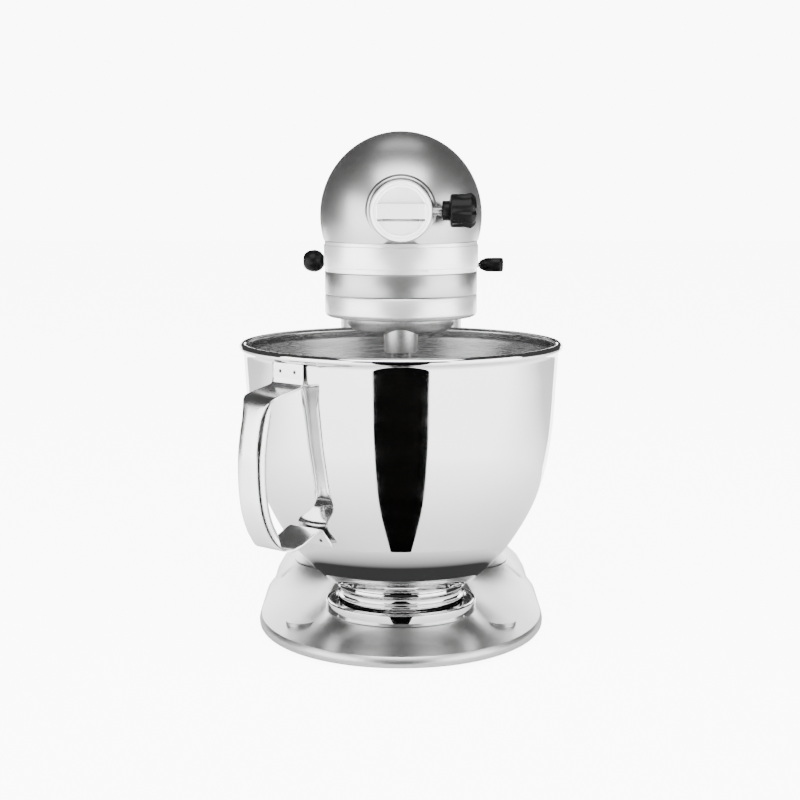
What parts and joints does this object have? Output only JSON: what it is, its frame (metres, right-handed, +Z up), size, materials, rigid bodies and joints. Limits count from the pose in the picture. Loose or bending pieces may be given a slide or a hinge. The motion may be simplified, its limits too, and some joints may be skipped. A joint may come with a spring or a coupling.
{
  "type": "stand mixer",
  "caption": "Tilt-head stand mixer with a planetary drive, a polished steel bowl with a strap handle, and a geared motor in the head.",
  "frame": {"origin": "middle of the bounding box in plan, on the surface the rubber feet stand on", "axes": "+Z up, the nose with the attachment hub points to -Y, +X is to the right of someone facing the nose"},
  "size_m": [0.221, 0.3654, 0.3513],
  "materials": {
    "paint": "satin metallic silver",
    "stainless": "polished outside, brushed inside",
    "bright_trim": "bright satin",
    "cast_metal": "satin cast",
    "steel": "plated",
    "black_plastic": "gloss",
    "rubber": "matt",
    "bronze": "satin",
    "copper": "satin"
  },
  "bodies": {
    "base": {"base_casting": "paint", "rubber_foot_1": "rubber", "rubber_foot_2": "rubber", "rubber_foot_3": "rubber", "rubber_foot_4": "rubber", "rubber_foot_5": "rubber", "bowl_clamp_plate": "stainless", "clamp_screw_1": "steel", "clamp_screw_2": "steel", "clamp_screw_3": "steel", "pedestal_column": "paint", "column_bolt_1": "steel", "column_bolt_2": "steel", "column_bolt_3": "steel", "hinge_pin": "steel", "lock_bolt": "steel", "height_screw": "steel"},
    "bowl": {"bowl_shell": "stainless", "bowl_foot": "stainless", "bowl_handle": "stainless"},
    "head": {"upper_housing": "paint", "trim_band": "bright_trim", "lower_housing": "paint", "rear_cover": "paint", "rear_cover_screw": "steel", "cord_grommet": "rubber", "drip_ring": "bright_trim", "ring_gear": "cast_metal", "attachment_hub": "cast_metal", "transmission_case": "cast_metal", "front_bearing": "steel", "rear_bearing": "steel", "stator": "cast_metal", "brush_holder_left": "bronze", "brush_holder_right": "bronze", "brush_cap_left": "black_plastic", "brush_cap_right": "black_plastic"},
    "planetary": {"planetary_hub": "cast_metal", "centre_shaft": "steel", "centre_gear": "steel"},
    "beater_drive": {"beater_shaft": "steel", "beater_pinion": "steel", "beater_cross_pin": "steel"},
    "hub_drive": {"hub_bevel_gear": "steel"},
    "worm_drive": {"worm_wheel": "bronze", "wheel_shaft": "steel", "wheel_pinion": "steel"},
    "armature": {"armature_shaft": "steel", "armature_core": "copper", "commutator": "copper", "cooling_fan": "black_plastic"},
    "speed_lever": {"speed_lever_arm": "steel", "speed_lever_knob": "black_plastic"},
    "lock_lever": {"lock_lever_arm": "steel", "lock_lever_knob": "black_plastic"},
    "knob": {"attachment_knob": "black_plastic", "attachment_knob_stud": "steel"},
    "cap": {"hub_cap": "bright_trim"}
  },
  "joints": [
    {"name": "head_tilt", "type": "hinge", "parent": "base", "child": "head", "pos_m": [0, 0.1112, 0.2215], "axis": [-1, 0, 0], "range_deg": [0, 45]},
    {"name": "bowl_twist", "type": "hinge", "parent": "base", "child": "bowl", "pos_m": [0, -0.0648, 0.025], "axis": [0, 0, 1], "range_deg": [0, 30]},
    {"name": "motor_spin", "type": "hinge", "parent": "head", "child": "armature", "pos_m": [0, 0.0352, 0.3], "axis": [0, 1, 0], "continuous": true},
    {"name": "worm_wheel_spin", "type": "hinge", "parent": "head", "child": "worm_drive", "pos_m": [-0.02445, -0.04154, 0.28], "axis": [0, 0, 1], "continuous": true},
    {"name": "planetary_spin", "type": "hinge", "parent": "head", "child": "planetary", "pos_m": [0, -0.0648, 0.23], "axis": [0, 0, 1], "continuous": true},
    {"name": "beater_spin", "type": "hinge", "parent": "planetary", "child": "beater_drive", "pos_m": [0, -0.0891, 0.22], "axis": [0, 0, 1], "continuous": true},
    {"name": "hub_drive_spin", "type": "hinge", "parent": "head", "child": "hub_drive", "pos_m": [0, -0.0848, 0.2995], "axis": [0, 1, 0], "continuous": true},
    {"name": "speed_lever_swing", "type": "hinge", "parent": "head", "child": "speed_lever", "pos_m": [0.024, 0.0152, 0.2564], "axis": [0, 0, -1], "range_deg": [0, 30]},
    {"name": "lock_lever_swing", "type": "hinge", "parent": "head", "child": "lock_lever", "pos_m": [-0.024, 0.0152, 0.2592], "axis": [0, 0, -1], "range_deg": [0, 20]},
    {"name": "attachment_knob_turn", "type": "hinge", "parent": "head", "child": "knob", "pos_m": [0.03, -0.1268, 0.2995], "axis": [1, 0, 0], "range_deg": [0, 300]},
    {"name": "hub_cap_pull", "type": "slide", "parent": "head", "child": "cap", "axis": [0, -1, 0], "range_m": [0, 0.025]}
  ],
  "couplings": [
    {"joint": "worm_wheel_spin", "follows": "motor_spin", "ratio": 0.076923},
    {"joint": "planetary_spin", "follows": "motor_spin", "ratio": -0.029915},
    {"joint": "beater_spin", "follows": "motor_spin", "ratio": 0.083761},
    {"joint": "hub_drive_spin", "follows": "motor_spin", "ratio": 0.059829}
  ]
}
